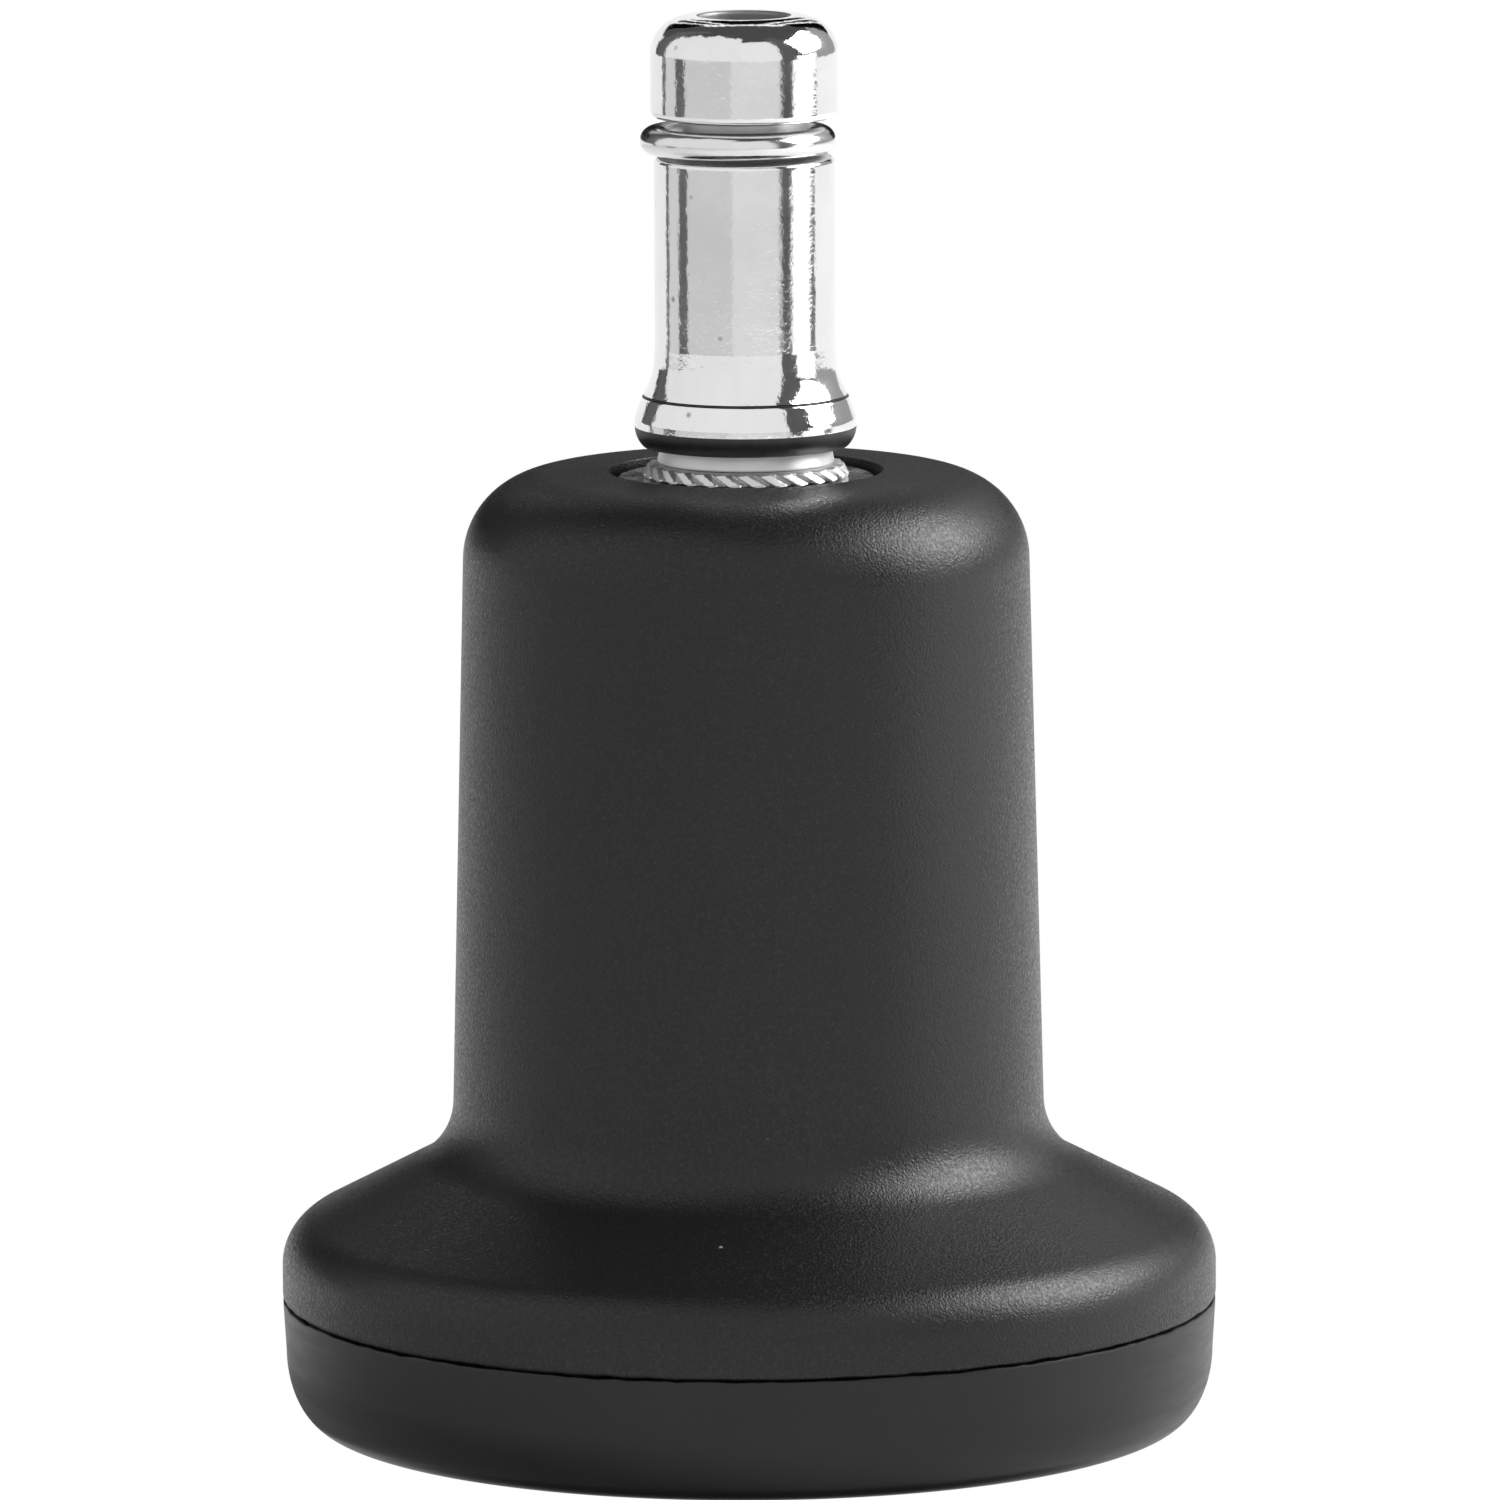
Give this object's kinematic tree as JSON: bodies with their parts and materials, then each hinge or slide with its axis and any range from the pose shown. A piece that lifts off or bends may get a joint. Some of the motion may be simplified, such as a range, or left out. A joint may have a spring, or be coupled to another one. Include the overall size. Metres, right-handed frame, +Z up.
{
  "type": "bell glide",
  "caption": "Bell-shaped furniture foot that replaces a caster: swivelling grip-ring stem in a hollow moulded nylon bell, closed below by a smooth round base cap.",
  "frame": {"origin": "centre of the flat underside of the base cap, on the floor", "axes": "+Z up along the stem; the bell is round about Z, and the grip ring's opening faces +Y at rest"},
  "size_m": [0.0572, 0.0572, 0.0865],
  "materials": {
    "bell_nylon": "fine spark-eroded grain",
    "cap_nylon": "satin, smoother than the bell",
    "plated_steel": "bright plated, faint orange peel",
    "spring_steel": "bright plated wire",
    "washer_steel": "bright plated, stamped",
    "inner_steel": "oiled, unseen"
  },
  "bodies": {
    "foot": {"bell_housing": "bell_nylon", "base_cap": "cap_nylon"},
    "spindle": {"stem": "plated_steel", "tooth_washer": "washer_steel", "crown_washer": "washer_steel", "keeper_washer": "inner_steel", "retaining_clip": "inner_steel"},
    "ring": {"grip_ring": "spring_steel"}
  },
  "joints": [
    {"name": "stem_swivel", "type": "hinge", "parent": "foot", "child": "spindle", "pos_m": [0, 0, 0.0588], "axis": [0, 0, 1], "continuous": true},
    {"name": "ring_turn", "type": "hinge", "parent": "spindle", "child": "ring", "pos_m": [0, 0, 0.0789], "axis": [0, 0, 1], "continuous": true}
  ]
}
